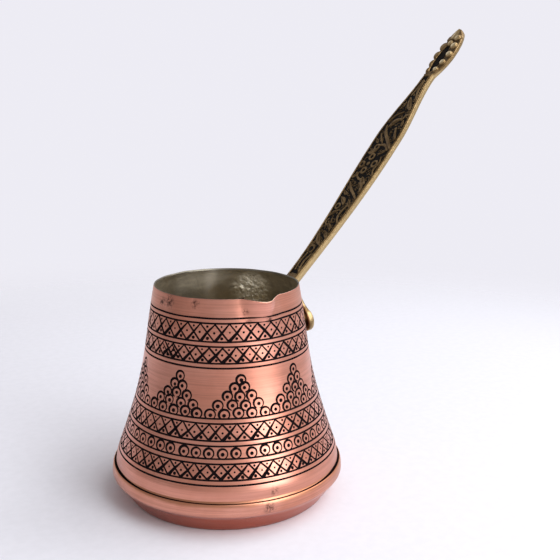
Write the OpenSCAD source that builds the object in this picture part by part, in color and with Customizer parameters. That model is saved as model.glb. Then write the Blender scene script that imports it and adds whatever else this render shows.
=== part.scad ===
// Turkish coffee pot (cezve): spun copper body with engraved rings, a copper
// base pan lapped and soldered into it, a tinned inside, and a cast brass
// handle riveted to the neck. Millimetres, +Z up, origin at the centre of the
// base. The handle points to +X and the pouring lip to -Y.

/* [Body] */
// Outer radius of the mouth
rim_r = 27.5; // [26:0.5:29]
// Height of the rim above the floor
pot_h = 82; // [80:1:86]
// Height of the seam where the upper body meets the base pan
seam_z = 13.5; // [13:0.25:14]
// Outer radius of the upper body at the seam
seam_r = 44.2; // [43.8:0.2:44.6]
// Thickness of the copper sheet
sheet = 1.2; // [0.9:0.1:1.4]
// Thickness of the tin coat
tin = 0.2; // [0.15:0.05:0.3]
// Width of an engraved ring line
ring_w = 0.5; // [0.3:0.1:0.8]
// Depth of an engraved ring line
ring_d = 0.2; // [0.1:0.05:0.3]
// Distance between the two lines of a ring pair
pair_gap = 1.7; // [1.2:0.1:2.2]

/* [Base pan] */
// Radius of the upper, small rounding of the pan
shoulder_r = 2; // [1.8:0.1:2.2]
// Radius of the lower, large rounding of the pan
belly_r = 7; // [6.5:0.5:7.5]
// Largest outer radius of the pan
pan_r = 45; // [44.8:0.1:45.4]
// Slope of the pan's underside, measured from the vertical
under_a = 35; // [34:1:40]
// Height of the lap that tucks up inside the upper body
lap_h = 4; // [3:0.5:5]
// Thickness of the solder in the lap
solder = 0.15; // [0.1:0.05:0.2]

/* [Pouring lip] */
// Height at which the lip starts to open from the neck
lip_z = 66; // [64:1:70]
// How far the lip stands out from the rim circle
lip_out = 3; // [2.5:0.5:4]

/* [Handle] */
// Length of the flat bar from the foot to the slender neck
bar_l = 104.4; // [96:0.1:112]
// Angle of the bar above the horizontal
bar_a = 50; // [46:1:54]
// Width of the bar at its foot
foot_w = 6.4; // [6:0.2:7]
// Greatest width of the bar
bar_w = 15; // [13:0.5:16]
// Width of the slender neck below the finial
neck_w = 5; // [4.6:0.2:6]
// Thickness of the bar
bar_t = 3.4; // [3:0.1:3.6]
// How far the bar sags below its chord
bar_sag = 1.35; // [0:0.05:2]
// Width of the raised border round the enamel
border = 1; // [0.8:0.1:1.3]
// Depth of the pocket that holds the enamel
pocket_d = 0.7; // [0.5:0.1:0.9]
// Thickness of the enamel in the pocket
enamel_t = 0.4; // [0.3:0.1:0.5]
// Length of the finial
finial_l = 24.6; // [24:0.1:27]

/* [Riveting plate] */
// Thickness of the plate
plate_t = 3; // [2.6:0.1:3.2]
// Radius of each lower lobe of the plate
lobe_r = 4.9; // [4.6:0.1:5.2]
// Sideways offset of each lower lobe
lobe_y = 6.4; // [6.2:0.1:6.8]
// Height of the centres of the lower lobes
lobe_z = 64.8; // [64:0.2:66]
// Height of the centre of the plate's round top
crown_z = 77; // [76.6:0.2:77.4]
// Radius of a rivet shank
rivet_r = 1.5; // [1.3:0.1:1.6]
// Radius of a rivet head
rivet_head_r = 2.6; // [2.4:0.1:2.8]

/* [Hidden] */
$fn = 96;
eps = 0.01;

// Smooth step from 0 to 1 as x goes from 0 to 1
function smooth(x) = let (c = min(max(x, 0), 1)) c * c * (3 - 2 * c);
function mix(a, b, k) = a + (b - a) * k;
// Points of an arc in the [radius, height] plane
function arc(c, r, a0, a1, n) = [for (i = [0:n]) c + r * [cos(mix(a0, a1, i / n)), sin(mix(a0, a1, i / n))]];

// --- Wall of the upper body: one Bezier from the rim down to the seam ---
wall_bend_upper = [rim_r + 5.5, mix(seam_z, pot_h, 0.565)];
wall_bend_lower = [rim_r + 2.4, mix(seam_z, pot_h, 0.572)];
function bezier(p0, p1, p2, p3, t) =
    pow(1 - t, 3) * p0 + 3 * t * pow(1 - t, 2) * p1 + 3 * t * t * (1 - t) * p2 + pow(t, 3) * p3;
function wall_point(t) = bezier([rim_r, pot_h], wall_bend_upper, wall_bend_lower, [seam_r, seam_z], t);
// Bezier parameter at height z, found by halving
function wall_t(z, lo = 0, hi = 1, n = 24) =
    n == 0 ? (lo + hi) / 2 :
    let (mid = (lo + hi) / 2)
    wall_point(mid)[1] > z ? wall_t(z, mid, hi, n - 1) : wall_t(z, lo, mid, n - 1);
function wall_r(z) = wall_point(wall_t(z))[0];

wall_steps = 20;
wall_zs = [for (i = [0:wall_steps]) mix(seam_z, pot_h, i / wall_steps)];
// Solid of revolution under the plain wall, moved in by off
module under_wall(off, z_low = seam_z) {
    zs = concat([z_low], [for (z = wall_zs) if (z > z_low + eps) z]);
    rotate_extrude()
        polygon(concat([[0, z_low]], [for (z = zs) [wall_r(z) - off, z]], [[0, pot_h]]));
}

// Ring pairs, by the height of the middle of each pair, from the seam up
pair_zs = [19.7, 26.7, 32.5, 39.9, 58.8, 66.3, 74.4];
ring_zs = [for (pz = pair_zs, side = [-1, 1]) pz + side * pair_gap / 2];
plain_run = 4.5;
// Wall points between two ring lines, none of them closer than a groove's edge
function plain_points(z0, z1) =
    let (n = ceil((z1 - z0) / plain_run))
    n < 2 ? [] : [for (i = [1:n - 1]) let (z = mix(z0, z1, i / n)) [wall_r(z), z]];
function groove_points(z) = [for (k = [-1:1]) let (h = z + k * ring_w / 2) [wall_r(h) - (k == 0 ? ring_d : 0), h]];
engraved_wall = [for (i = [0:len(ring_zs) - 1])
    each concat(groove_points(ring_zs[i]),
                plain_points(ring_zs[i], i + 1 < len(ring_zs) ? ring_zs[i + 1] : pot_h))];
module under_engraved_wall() {
    rotate_extrude()
        polygon(concat([[0, seam_z], [seam_r, seam_z]], plain_points(seam_z, ring_zs[0]),
                       engraved_wall, [[rim_r, pot_h], [0, pot_h]]));
}

// --- Pouring lip: a cone that leans against the neck from inside ---
lip_front = [rim_r + lip_out, pot_h];
// The cone's point lies just inside the wall, so that it comes out of it cleanly
lip_sink = 0.5;
lip_apex = [wall_r(lip_z) - lip_sink, lip_z];
lip_back_a = 53.5;
lip_front_a = -atan2(lip_front[0] - lip_apex[0], lip_front[1] - lip_apex[1]);
lip_half_a = (lip_back_a - lip_front_a) / 2;
lip_axis_a = (lip_back_a + lip_front_a) / 2;
module lip_cone(off) {
    reach = 40;
    intersection() {
        translate([0, -lip_apex[0], lip_apex[1]])
            rotate([-lip_axis_a, 0, 0])
                translate([0, 0, off / sin(lip_half_a)])
                    cylinder(h = reach, r1 = 0, r2 = reach * tan(lip_half_a));
        translate([0, 0, lip_z - 10]) cylinder(h = pot_h - lip_z + 10, r = rim_r + 20);
    }
}
module pot_outside() {
    union() {
        under_engraved_wall();
        lip_cone(0);
    }
}
module pot_inside(off, z_low = seam_z) {
    union() {
        under_wall(off, z_low);
        lip_cone(off);
    }
}

// --- Base pan ---
shoulder_c = [pan_r - shoulder_r, seam_z - 0.3 - shoulder_r];
belly_c = [pan_r - belly_r, shoulder_c[1]];
lap_z = seam_z + lap_h;
function foot_r(off) =
    let (run = (belly_c[1] - (belly_r - off) * sin(under_a) - off) / cos(under_a))
    belly_c[0] + (belly_r - off) * cos(under_a) - run * sin(under_a);
// Inside or outside face of the pan from its top down to the axis, off inside the outer face
function pan_face(off) = concat(
    [[wall_r(lap_z) - sheet - solder - off, lap_z],
     [seam_r - sheet - solder - off, seam_z],
     [seam_r - sheet - solder - off, shoulder_c[1] + shoulder_r - off]],
    arc(shoulder_c, shoulder_r - off, 90, 0, 6),
    arc(belly_c, belly_r - off, 0, -under_a, 8),
    [[foot_r(off), off], [0, off]]);
function reversed(list) = [for (i = [len(list) - 1:-1:0]) list[i]];
// Face of the tin, off inside the pan's outer face, with its step over the lap's top
function tin_face(off) = concat([[wall_r(lap_z) - off, lap_z + off - sheet],
                                 [wall_r(lap_z) - sheet - solder - off, lap_z + off - sheet]],
                                [for (i = [1:len(pan_face(off)) - 1]) pan_face(off)[i]]);

// --- Handle frame: x along the bar's chord, y across, z out of the face ---
handle_foot = [29.8, 80];
module on_bar() {
    translate([handle_foot[0], 0, handle_foot[1]]) rotate([0, -bar_a, 0]) children();
}
bar_steps = 36;
bar_full_at = 0.65;
bar_taper_at = 0.68;
bar_taper_run = 1 - bar_taper_at;
function bar_half_w(t) =
    let (full = mix(foot_w, bar_w, smooth(t / bar_full_at)))
    (full - (bar_w - neck_w) * smooth((t - bar_taper_at) / bar_taper_run)) / 2;
function bar_mid_z(t) = t >= 1 ? 0 : -bar_sag * 6.75 * t * (1 - t) * (1 - t);
neck_t = bar_t - 0.4;
function bar_half_t(t) = mix(bar_t, neck_t, t) / 2;
// Side view of the bar between two levels, given below the decorated face
module bar_side(down0, down1, t0 = 0, t1 = 1) {
    ts = [for (i = [0:bar_steps]) mix(t0, t1, i / bar_steps)];
    top = [for (t = ts) [t * bar_l, bar_mid_z(t) + bar_half_t(t) - down0]];
    low = [for (t = ts) [t * bar_l, max(bar_mid_z(t) + bar_half_t(t) - down1, bar_mid_z(t) - bar_half_t(t))]];
    translate([0, bar_w, 0]) rotate([90, 0, 0])
        linear_extrude(height = 2 * bar_w) polygon(concat(top, reversed(low)));
}
// Face outline of the bar, moved in by inset
module bar_face(inset, t0 = 0, t1 = 1) {
    ts = [for (i = [0:bar_steps]) mix(t0, t1, i / bar_steps)];
    right = [for (t = ts) [t * bar_l, bar_half_w(t) - inset]];
    left = [for (t = ts) [t * bar_l, inset - bar_half_w(t)]];
    translate([0, 0, -10]) linear_extrude(height = 20) polygon(concat(right, reversed(left)));
}
pocket_t0 = 0.03;
pocket_t1 = 0.985;
module bar() {
    difference() {
        intersection() {
            bar_side(0, 10);
            bar_face(0);
        }
        intersection() {
            bar_side(-1, pocket_d, pocket_t0, pocket_t1);
            bar_face(border, pocket_t0, pocket_t1);
        }
    }
}
// Scallops of the finial: [distance from the neck, sideways offset, radius]
scallops = [[2.6, 1.7, 1.9], [6.4, 2.6, 2.2], [10.8, 3.1, 2.4], [15.4, 2.6, 2.5], [19.8, 1.5, 2.4]];
// Shoulders of the finial's pointed leaf: [distance from the neck, half width]
tip_wide = [18.6, 3.4];
tip_narrow = [22.9, 2];
module finial() {
    core = concat([[-0.5, neck_w / 2]], [for (s = scallops) [s[0], s[1]]]);
    translate([bar_l, 0, -neck_t / 2])
        linear_extrude(height = neck_t) union() {
            polygon(concat(core, [[finial_l, 0]], [for (p = reversed(core)) [p[0], -p[1]]]));
            for (s = scallops, side = [-1, 1]) translate([s[0], side * s[1]]) circle(r = s[2]);
            polygon([tip_wide, tip_narrow, [finial_l, 0], [tip_narrow[0], -tip_narrow[1]], [tip_wide[0], -tip_wide[1]]]);
        }
}

// --- Riveting plate: flat, leaning with the neck, x out of it, z up its slope ---
plate_low = 59;
plate_high = 79;
lean_a = atan((wall_r(plate_low) - wall_r(plate_high)) / (plate_high - plate_low));
plate_gap = 0.12;
module on_plate(z) {
    translate([wall_r(lobe_z) + plate_gap - (z - lobe_z) * tan(lean_a), 0, z]) rotate([0, -lean_a, 0]) children();
}
crown_r = 3.3;
module plate_outline() {
    up = (crown_z - lobe_z) / cos(lean_a);
    edge_a = 90 - atan2(up, lobe_y) + asin((lobe_r - crown_r) / norm([up, lobe_y]));
    union() {
        for (side = [-1, 1]) translate([side * lobe_y, 0]) circle(r = lobe_r);
        translate([0, up]) circle(r = crown_r);
        polygon([[-lobe_y - lobe_r * cos(edge_a), lobe_r * sin(edge_a)],
                 [-lobe_y, -lobe_r], [0, -lobe_r - 1.2], [lobe_y, -lobe_r],
                 [lobe_y + lobe_r * cos(edge_a), lobe_r * sin(edge_a)],
                 [crown_r * cos(edge_a), up + crown_r * sin(edge_a)],
                 [-crown_r * cos(edge_a), up + crown_r * sin(edge_a)]]);
    }
}
module plate() {
    on_plate(lobe_z) rotate([90, 0, 90]) linear_extrude(height = plate_t) plate_outline();
}

// --- Rivets ---
// Each rivet: [sideways place, height]
rivet_at_left = [-6.2, 65.4];
rivet_at_right = [6.2, 65.4];
rivet_at_top = [0, 72.6];
shank_in = 6;
module rivet_holes() {
    for (at = [rivet_at_left, rivet_at_right, rivet_at_top])
        on_plate(at[1]) translate([-shank_in, at[0], 0]) rotate([0, 90, 0])
            cylinder(h = shank_in + plate_t + 5, r = rivet_r);
}
dome_h = 1.3;
// Depth, from the plate's back, at which an inner head clears the tinned wall
function rivet_depth(at) =
    let (inside_r = wall_r(at[1]) - sheet - tin, reach = abs(at[0]) + rivet_head_r)
    wall_r(at[1]) + plate_gap - sqrt(inside_r * inside_r - reach * reach) + 0.05;
// Quarter outline of a domed head, [radius, height] from its rim to its crown
function dome(n = 6) = [for (i = [0:n]) [rivet_head_r * cos(90 * i / n), dome_h * sin(90 * i / n)]];
// Shank with a domed head at each end, turned as one piece
module rivet(at) {
    depth = rivet_depth(at);
    head = dome();
    outer = [for (p = head) [p[0], plate_t + p[1]]];
    inner = [for (p = reversed(head)) [p[0], -depth - p[1]]];
    on_plate(at[1]) translate([0, at[0], 0]) rotate([0, 90, 0]) rotate_extrude()
        polygon(concat(inner, [[rivet_r, -depth], [rivet_r, plate_t]], outer));
}

// --- Sub-parts ---
module upper_body() {
    color("peru") difference() {
        pot_outside();
        pot_inside(sheet);
        rivet_holes();
    }
}
module base_pan() {
    color("chocolate") rotate_extrude()
        polygon(concat(pan_face(0), reversed(pan_face(sheet))));
}
module seam_solder() {
    color("gray") rotate_extrude()
        polygon([[wall_r(lap_z) - sheet, lap_z], [seam_r - sheet, seam_z],
                 [seam_r - sheet - solder, seam_z], [wall_r(lap_z) - sheet - solder, lap_z]]);
}
module tin_lining() {
    color("silver") {
        difference() {
            pot_inside(sheet, lap_z);
            pot_inside(sheet + tin, lap_z + tin);
            translate([0, 0, lap_z - eps]) cylinder(h = tin + 2 * eps, r = wall_r(lap_z) - sheet - tin);
            rivet_holes();
        }
        rotate_extrude() polygon(concat(tin_face(sheet), reversed(tin_face(sheet + tin))));
    }
}
module handle() {
    color("darkgoldenrod") difference() {
        union() {
            on_bar() bar();
            on_bar() finial();
            plate();
        }
        rivet_holes();
    }
}
module enamel_fill() {
    color("black") on_bar() intersection() {
        bar_side(pocket_d - enamel_t, pocket_d, pocket_t0, pocket_t1);
        bar_face(border, pocket_t0, pocket_t1);
    }
}
module rivet_left() {
    color("goldenrod") rivet(rivet_at_left);
}
module rivet_right() {
    color("goldenrod") rivet(rivet_at_right);
}
module rivet_top() {
    color("goldenrod") rivet(rivet_at_top);
}

upper_body();
base_pan();
seam_solder();
tin_lining();
handle();
enamel_fill();
rivet_left();
rivet_right();
rivet_top();
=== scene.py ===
import math
import random

import bpy
import numpy as np
from mathutils import Euler, Matrix, Vector
from mathutils import noise
from mathutils.geometry import delaunay_2d_cdt


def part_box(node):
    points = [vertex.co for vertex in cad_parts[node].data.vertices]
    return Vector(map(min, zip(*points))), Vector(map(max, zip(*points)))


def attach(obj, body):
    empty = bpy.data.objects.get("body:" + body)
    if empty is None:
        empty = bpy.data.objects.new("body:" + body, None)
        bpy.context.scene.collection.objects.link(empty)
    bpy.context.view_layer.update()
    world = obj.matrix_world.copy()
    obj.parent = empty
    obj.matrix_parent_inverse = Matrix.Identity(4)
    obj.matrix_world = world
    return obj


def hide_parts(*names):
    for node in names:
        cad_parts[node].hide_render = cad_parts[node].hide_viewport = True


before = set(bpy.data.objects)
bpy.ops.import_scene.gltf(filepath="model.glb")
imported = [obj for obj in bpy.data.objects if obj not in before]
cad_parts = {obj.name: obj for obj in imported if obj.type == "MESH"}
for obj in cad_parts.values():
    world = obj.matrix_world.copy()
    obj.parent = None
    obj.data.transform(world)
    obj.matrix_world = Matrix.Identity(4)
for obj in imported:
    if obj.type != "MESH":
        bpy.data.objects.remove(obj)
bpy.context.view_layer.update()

MM = 0.001
TAU = 2 * math.pi
BODY = "root"


# ---------------------------------------------------------------- frame sizes
def node_box(node):
    """Lowest and highest corner of a CAD node, in millimetres."""
    low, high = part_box(node)
    return low / MM, high / MM


body_low, body_high = node_box("upper_body")
pan_high = node_box("base_pan")[1]
SEAM_Z = body_low.z
RIM_Z = body_high.z
SEAM_R = body_high.x
PAN_R = pan_high.x
LAP_Z = pan_high.z
RIM_R = 27.5
SHEET = 1.2
TIN = 0.2
SOLDER = 0.15
LIP_ANGLE = -90.0
LOBE_Z = 64.8
CROWN_Z = 77.0
BAR_FOOT = (29.8, 80.0)
BAR_ANGLE = 50.0
BAR_LENGTH = 104.4
TURN_STEPS = 300
# Angles of the points in one turn round the pot
ANGLES = np.arange(TURN_STEPS) * 360 / TURN_STEPS
# Height where the rim starts to round over
EDGE_Z = RIM_Z - 0.4


# ---------------------------------------------------------------- small helpers
def mix(a, b, k):
    return a + (b - a) * k


def smooth(x):
    c = np.clip(x, 0, 1)
    return c * c * (3 - 2 * c)


def bell(x, width):
    """One where x is nothing, falling off smoothly on both sides."""
    return np.exp(-(x / width) ** 2)


def dome(gap):
    """Height of a round dome: one at its middle, and nothing from a gap of one on."""
    return np.sqrt(np.clip(1 - gap ** 2, 0, 1))


def signed_power(x, power):
    return np.sign(x) * abs(x) ** power


def polar(reach, turn, centre=(0.0, 0.0)):
    """The point that far from the centre, at an angle in radians."""
    return centre[0] + reach * math.cos(turn), centre[1] + reach * math.sin(turn)


def wrapped(angle):
    """Angle in degrees brought between -180 and 180."""
    return (np.asarray(angle, float) + 180) % 360 - 180


def ripple(x, seed, waves=5):
    """Sines with fixed random phases: about -1 to 1, and the same after one turn (x in degrees)."""
    draw = random.Random(seed)
    total = 0
    for k in range(1, waves + 1):
        total = total + np.sin(np.radians(np.asarray(x) * k * 2) + draw.uniform(0, TAU)) / waves
    return total


def cloud(points, scale, seed):
    """Perlin noise at each point (millimetres), for features of about scale millimetres."""
    shift = Vector((seed * 13.7, seed * 7.3, seed * 3.1))
    return np.array([noise.noise(Vector(p) / scale + shift) for p in points])


def under_strokes(x, y, rows, profile, chunk=2000):
    """Largest height at each point under many straight strokes.

    A row holds a stroke's two ends, its two half widths and its height. The profile gives the
    share of that height at a distance from the middle line, counted in half widths.
    """
    ax, ay, bx, by, half_a, half_b, height = np.array(rows).T
    dx = bx - ax
    dy = by - ay
    size = np.maximum(dx * dx + dy * dy, 1e-12)
    best = np.zeros(len(x))
    for start in range(0, len(x), chunk):
        part = slice(start, start + chunk)
        px = x[part, None] - ax
        py = y[part, None] - ay
        t = np.clip((px * dx + py * dy) / size, 0, 1)
        gap = np.hypot(px - t * dx, py - t * dy) / mix(half_a, half_b, t)
        best[part] = (height * profile(gap)).max(axis=1)
    return best


def stroke_rows(line, halves, height):
    """The rows of under_strokes for a line of points, with its half width at each point."""
    pairs = zip(line[:-1], line[1:], halves[:-1], halves[1:])
    return [(*a, *b, half_a, half_b, height) for a, b, half_a, half_b in pairs]


# ---------------------------------------------------------------- wall of the upper body
def wall_table():
    """Radius and height along the wall's Bezier outline, from the seam up to the rim."""
    span = RIM_Z - SEAM_Z
    corners = ((RIM_R, RIM_Z), (RIM_R + 5.5, SEAM_Z + 0.565 * span),
               (RIM_R + 2.4, SEAM_Z + 0.572 * span), (SEAM_R, SEAM_Z))
    t = np.linspace(1, 0, 400)
    weights = ((1 - t) ** 3, 3 * t * (1 - t) ** 2, 3 * t * t * (1 - t), t ** 3)
    radius = sum(w * c[0] for w, c in zip(weights, corners))
    height = sum(w * c[1] for w, c in zip(weights, corners))
    return radius, height


WALL_R, WALL_Z = wall_table()
WALL_S = np.concatenate([[0], np.cumsum(np.hypot(np.diff(WALL_R), np.diff(WALL_Z)))])


def wall_r(z):
    return np.interp(z, WALL_Z, WALL_R)


def up_wall(z):
    """Distance along the wall from the seam up to height z."""
    return np.interp(z, WALL_Z, WALL_S)


def wall_height(s):
    return np.interp(s, WALL_S, WALL_Z)


LIP_OUT = 3.0
LIP_LOW = 65.0
LIP_SINK = 1.35
LIP_LEFT = 19.0
LIP_RIGHT = 15.0
SEAM_TUCK = 0.75
RIM_SHEET = 0.44
RIM_RISE = 0.3
# Dents, each with its angle, height, reach and depth
DENTS = ((-140, 76, 2.4, 0.25), (-102, 74.2, 1.7, 0.2), (-88, 74.3, 1.5, 0.16), (-105, 78, 2.2, 0.16),
         (-143, 80.2, 1.3, 0.3), (-172, 77, 4, 0.2), (130, 76, 5, 0.25), (70, 77, 4, 0.2),
         (-84, 77.5, 1.6, 0.15), (-118, 47, 7, 0.1), (-60, 30, 8, 0.12), (-150, 62, 6, 0.1),
         (40, 50, 8, 0.15), (160, 35, 8, 0.12))


def lip_profile(angle):
    """Share of the lip's reach at an angle: a beak, slow to fall off on its left and steep on its right."""
    off = wrapped(angle - LIP_ANGLE)
    side = np.clip(np.where(off < 0, -off / LIP_LEFT, off / LIP_RIGHT), 0, 1)
    return (0.5 + 0.5 * np.cos(math.pi * side)) ** 0.85


def wall_point(angle, z, inward=0.0):
    """Points on the outside of the upper body, or that far inside it."""
    angle = np.asarray(angle, float)
    z = np.asarray(z, float)
    rise = np.clip((z - LIP_LOW) / (RIM_Z - LIP_LOW), 0, 1)
    beak = lip_profile(wrapped(angle - 4 * (1 - rise)))
    radius = wall_r(z) + LIP_OUT * beak * rise ** 1.7
    crease = bell(wrapped(angle - LIP_ANGLE) - mix(1.5, 8.5, rise), 2.6)
    radius = radius - 0.32 * crease * smooth((z - 73) / 5)
    radius = radius + 0.1 * ripple(angle, 3) * smooth((z - 55) / 20)
    radius = radius - SEAM_TUCK * bell(z - SEAM_Z, 2.2) * (1 - np.clip(inward / SHEET, 0, 1))
    for place, height, reach, depth in DENTS:
        across = np.radians(wrapped(angle - place)) * RIM_R
        radius = radius - depth * np.exp(-(across ** 2 + (z - height) ** 2) / reach ** 2)
    radius = radius - inward
    sink = LIP_SINK * lip_profile(angle - 1.5) + 0.16 * ripple(angle, 8, 9)
    height = z - sink * np.clip((z - 76) / (RIM_Z - 76), 0, 1) ** 1.5
    turn = np.radians(angle)
    return np.stack([radius * np.cos(turn), radius * np.sin(turn), height], axis=-1)


def rim_row(turn, coat=0.0):
    """One ring of the rim's rounding, at an angle over the edge of the sheet and of its coat."""
    row = wall_point(ANGLES, EDGE_Z, RIM_SHEET / 2 - (RIM_SHEET / 2 + coat) * math.cos(turn))
    row[:, 2] += (RIM_RISE + coat) * math.sin(turn)
    return row


def sheet_at(z):
    """Thickness of the copper at height z: it thins towards the rim."""
    return mix(SHEET, RIM_SHEET, smooth((np.asarray(z, float) - 72) / 9))


def wall_normal(angle, z):
    step_a = 0.3
    step_z = 0.15
    along = wall_point(angle + step_a, z) - wall_point(angle - step_a, z)
    up = wall_point(angle, z + step_z) - wall_point(angle, z - step_z)
    normal = np.cross(along, up)
    return normal / np.linalg.norm(normal, axis=-1, keepdims=True)


# ---------------------------------------------------------------- engraving
RING_PAIRS = (19.7, 26.7, 32.5, 39.9, 58.8, 66.3, 74.4)
PAIR_GAP = 1.7
RINGS = [pair + side * PAIR_GAP / 2 for pair in RING_PAIRS for side in (-1, 1)]
RING_HALF = 0.33
CUT_DEPTH = 0.2
# Direction from which the counting of marks starts, in degrees from the handle
PATTERN_FRONT = -118.0


class Band:
    """One band of the wall, unrolled: x runs round the pot and y up the wall, both in millimetres."""

    def __init__(self, low, high):
        self.low = low
        self.high = high
        self.radius = float(wall_r((low + high) / 2))
        self.length = TAU * self.radius
        self.y0 = float(up_wall(low))
        self.y1 = float(up_wall(high))
        self.outlines = []
        self.ridges = []
        self.segments = []

    def x(self, angle):
        return math.radians(angle) * self.radius

    def angle(self, x):
        return np.degrees(x / self.radius)

    def outside(self, low, high):
        return high < -1 or low > self.length + 1

    def cut(self, line, halves):
        """A groove along a line of points, with its half width at each point."""
        line = np.array(line, float)
        halves = np.array(halves, float)
        if self.outside(line[:, 0].min(), line[:, 0].max()):
            return
        step = np.gradient(line, axis=0)
        step /= np.linalg.norm(step, axis=1, keepdims=True)
        side = np.stack([-step[:, 1], step[:, 0]], axis=1) * halves[:, None]
        self.outlines.append(np.vstack([line + side, (line - side)[::-1]]))
        first = line[0] + step[0] * min(halves[0], 0.3)
        last = line[-1] - step[-1] * min(halves[-1], 0.3)
        self.ridges.append(np.vstack([[first], line[1:-1], [last]]))
        self.segments += stroke_rows(line, halves, CUT_DEPTH)

    def dot(self, x, y, radius, sides=8, turn=0.0):
        """A round punch mark."""
        if self.outside(x, x):
            return
        turns = [turn + TAU * k / sides for k in range(sides)]
        self.outlines.append(np.array([polar(radius, a, (x, y)) for a in turns]))
        self.ridges.append(np.array([polar(0.45 * radius, a, (x, y)) for a in turns[::2]]))
        self.segments.append((x, y, x, y, radius, radius, CUT_DEPTH))

    def ring_half(self, angle, height):
        """Half width of a ring line: a little uneven, and on the top line rubbed thin below the lip."""
        half = RING_HALF * (1 + 0.14 * ripple(angle, 21 + int(height), 9))
        if height > RINGS[-2] - 0.1:
            half = half * (1 - 0.55 * bell(wrapped(angle + 93), 5))
        return half

    def depth(self, x, y):
        """Depth of the engraving at points of the band: every cut is a V."""
        deepest = np.zeros(len(x))
        angle = self.angle(x)
        for edge, height in ((self.y0, self.low), (self.y1, self.high)):
            if height in RINGS:
                half = self.ring_half(angle, height)
                deepest = np.maximum(deepest, CUT_DEPTH * (1 - np.abs(y - edge) / half))
        if self.segments:
            cuts = under_strokes(x, y, self.segments, lambda gap: np.clip(1 - gap, 0, None))
            deepest = np.maximum(deepest, cuts)
        return deepest

    def places(self, count, first):
        """Number and x of the marks of a row round the band, and of one more at either end."""
        pitch = self.length / count
        start = self.x((first + PATTERN_FRONT) % 360) % pitch
        return [(k % count, start + k * pitch) for k in range(-1, count + 1)]


def lattice(band, count, first, seed):
    """A row of crosses with punch marks between them."""
    pitch = band.length / count
    y0 = band.y0 + RING_HALF * 0.6
    y1 = band.y1 - RING_HALF * 0.6
    tall = y1 - y0
    half_way = mix(y0, y1, 0.5)
    for number, x in band.places(count, first):
        draw = random.Random(f"{seed}:{number}")

        def slip(size=0.06):
            return draw.uniform(-size, size) * pitch

        def slanted(left_y, right_y):
            left = (x - pitch / 2 + slip(), left_y)
            return [left, (x + slip(0.04), half_way), (x + pitch / 2 + slip(), right_y)]

        heavy = draw.uniform(0.75, 1.2)
        band.cut(slanted(y0, y1), [0.6 * heavy, 0.46 * heavy, 0.24])
        falling = slanted(y1, y0)
        bold = draw.choice((0.85, 1.0, 1.0, 1.1, 1.45))
        band.cut(falling, [0.3 * bold, 0.36 * bold, 0.32 * bold])
        size = draw.uniform(0.34, 0.48)
        middle = (x + pitch / 2 + slip(0.05), half_way + draw.uniform(-0.25, 0.2))
        band.dot(*middle, size, turn=draw.uniform(0, 1))
        for up, small, large, sides in ((0.85, 0.36, 0.48, 8), (0.17, 0.54, 0.68, 6)):
            place = (x + slip(0.05), y0 + up * tall)
            band.dot(*place, draw.uniform(small, large), sides, draw.uniform(0, 1))


EYELET_R = 1.76
EYELET_PARTS = 18


def eyelet(band, x, y, draw, open_bottom=0.24):
    """A punched circle, heavy at the top left and open at the bottom, with a mark in it."""
    radius = EYELET_R * draw.uniform(0.96, 1.03)
    tilt = draw.uniform(-0.25, 0.25)
    gap = open_bottom * draw.uniform(0.6, 1.3)
    heavy = draw.uniform(0.85, 1.15)
    line = []
    halves = []
    for k in range(EYELET_PARTS + 1):
        share = k / EYELET_PARTS
        a = mix(-math.pi / 2 + gap, 1.5 * math.pi - gap, share) + tilt
        line.append(polar(radius, a, (x, y)))
        ends = 0.6 + 0.4 * math.sin(math.pi * share) ** 0.5
        halves.append(heavy * (0.37 + 0.1 * math.cos(a - 2.7)) * ends)
    band.cut(line, halves)
    mark = draw.uniform(0.64, 0.76)
    place = (x + draw.uniform(-0.15, 0.15), y - 0.2 + draw.uniform(-0.15, 0.15))
    band.dot(*place, mark, turn=draw.uniform(0, 1))


def eyelet_row(band, count, first, height, seed):
    slack = 0.09
    for number, x in band.places(count, first):
        draw = random.Random(f"{seed}:{number}")
        x = x + draw.uniform(-slack, slack) * band.length / count
        eyelet(band, x, float(up_wall(height)) + draw.uniform(-0.2, 0.25), draw)


# Rows of a pyramid from the bottom up: its number of circles, its height and their step in degrees
PYRAMID_ROWS = ((5, 42.35, 8.0), (4, 45.1, 8.0), (3, 48.1, 7.4), (2, 51.1, 6.6), (1, 54.1, 6.0))


def pyramids(band, count, first, seed):
    """Pyramids of circles, with the lowest rows meeting all the way round."""
    for number, x in band.places(count, first):
        for circles, height, step in PYRAMID_ROWS:
            for i in range(circles):
                draw = random.Random(f"{seed}:{number}:{circles}:{i}")
                lean = (height - 42) * 0.2
                turn = (i - (circles - 1) / 2) * step + lean + draw.uniform(-0.5, 0.5)
                y = float(up_wall(height)) + draw.uniform(-0.3, 0.3)
                eyelet(band, x + band.x(turn), y, draw, open_bottom=0.22 if circles == 5 else 0.36)


def add_strays(band, seed):
    """The overlapping strokes where the engraver closed a row badly."""
    draw = random.Random(seed)
    for k in range(5):
        x = band.x((2.1 * k - 46 + PATTERN_FRONT) % 360)
        y0 = band.y0 + draw.uniform(0.3, 1.5)
        y1 = band.y1 - draw.uniform(0.3, 1.5)
        lean = draw.uniform(0.8, 2.2) * (1 if k % 2 else -1)
        band.cut([(x - lean, y0), (x, (y0 + y1) / 2), (x + lean, y1)], [0.34, 0.3, 0.2])


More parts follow.
